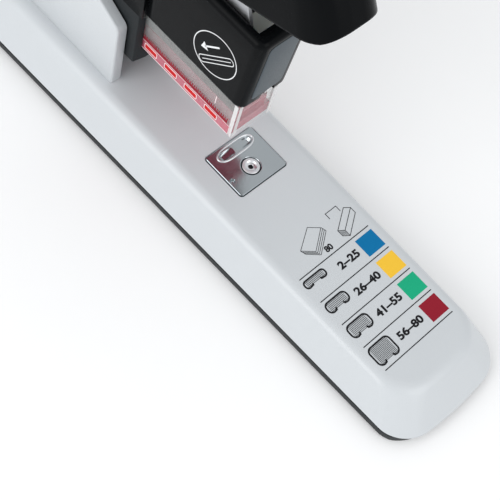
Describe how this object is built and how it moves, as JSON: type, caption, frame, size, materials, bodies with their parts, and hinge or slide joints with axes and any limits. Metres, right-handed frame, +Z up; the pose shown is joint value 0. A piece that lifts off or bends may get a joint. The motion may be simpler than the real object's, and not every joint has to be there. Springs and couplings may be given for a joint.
{
  "type": "heavy-duty stapler",
  "caption": "Heavy-duty desk stapler: long white base with a steel anvil, sprung hinged arm, removable clear and red staple cartridge, and a raised lever handle.",
  "frame": {"origin": "middle of the base's footprint, on the table", "axes": "+X the user's right, -Y the front of the base, +Y the hinge end, +Z up"},
  "size_m": [0.0804, 0.3006, 0.1633],
  "materials": {
    "white_plastic": "satin",
    "dark_grey_plastic": "fine texture",
    "black_rubber": "matt",
    "zinc_steel": "zinc plated",
    "polished_steel": "polished, lightly brushed",
    "dark_steel": "blackened",
    "nylon": "moulded",
    "spring_steel": "bright wire",
    "black_plastic": "satin gloss",
    "clear_plastic": "clear moulding",
    "red_clear_plastic": "clear red moulding",
    "red_plastic": "moulded",
    "staple_wire": "galvanised"
  },
  "bodies": {
    "base": {"base_shell": "white_plastic", "sole": "dark_grey_plastic", "rubber_feet": "black_rubber", "base_frame": "zinc_steel", "anvil_plate": "polished_steel", "anvil_screw": "polished_steel", "sole_screws": "zinc_steel", "hinge_bracket": "zinc_steel", "bracket_screws": "zinc_steel", "hinge_pin": "polished_steel", "hinge_clips": "dark_steel", "column_left": "white_plastic", "column_right": "white_plastic", "column_back": "white_plastic", "column_screws": "zinc_steel", "arm_spring": "spring_steel"},
    "arm": {"arm_frame": "zinc_steel", "arm_tray": "dark_grey_plastic", "arm_cover": "black_plastic", "head_cover": "black_plastic", "driver_guide": "zinc_steel", "pivot_bushes": "nylon", "pivot_sleeve": "zinc_steel", "lever_pin": "polished_steel", "lever_pin_clips": "dark_steel", "lever_bushes": "nylon", "cover_screws": "dark_steel", "driver_spring": "spring_steel", "latch_spring": "spring_steel"},
    "lever": {"lever_frame": "zinc_steel", "handle_cover": "black_plastic", "handle_grip": "black_rubber", "drive_pin": "polished_steel", "drive_pin_clips": "dark_steel", "spring_crossbar": "polished_steel", "handle_screws": "zinc_steel"},
    "driver": {"driver_carriage": "nylon", "driver_blade": "polished_steel", "driver_rivets": "polished_steel"},
    "cartridge": {"cartridge_housing": "clear_plastic", "cartridge_rail": "red_clear_plastic", "cartridge_nose": "red_clear_plastic", "cartridge_cap": "red_plastic", "staple_strip": "staple_wire", "pusher_spring": "spring_steel"},
    "pusher": {"staple_pusher": "dark_grey_plastic"},
    "latch": {"latch_button": "dark_grey_plastic"}
  },
  "joints": [
    {"name": "arm_pivot", "type": "hinge", "parent": "base", "child": "arm", "pos_m": [0, 0.13, 0.034], "axis": [1, 0, 0], "range_deg": [0, 10], "stiffness_Nm_per_rad": 5, "springref_deg": -20.05, "deforming": ["arm_spring"]},
    {"name": "lever_pivot", "type": "hinge", "parent": "arm", "child": "lever", "pos_m": [0, 0.08, 0.0915], "axis": [1, 0, 0], "range_deg": [0, 17.13], "stiffness_Nm_per_rad": 2, "springref_deg": -22.92, "deforming": ["driver_spring"]},
    {"name": "driver_slide", "type": "slide", "parent": "arm", "child": "driver", "axis": [0, 0, -1], "range_m": [0, 0.023]},
    {"name": "cartridge_slide", "type": "slide", "parent": "arm", "child": "cartridge", "axis": [0, 1, 0], "range_m": [-0.05, 0]},
    {"name": "pusher_slide", "type": "slide", "parent": "cartridge", "child": "pusher", "axis": [0, 1, 0], "range_m": [0, 0.02], "stiffness_N_per_m": 60, "springref_m": -0.04, "deforming": ["pusher_spring"]},
    {"name": "latch_slide", "type": "slide", "parent": "arm", "child": "latch", "axis": [0, 0, 1], "range_m": [0, 0.002], "stiffness_N_per_m": 200, "springref_m": -0.004, "deforming": ["latch_spring"]}
  ],
  "couplings": [
    {"joint": "driver_slide", "follows": "lever_pivot", "m_per_rad": 0.076911}
  ]
}
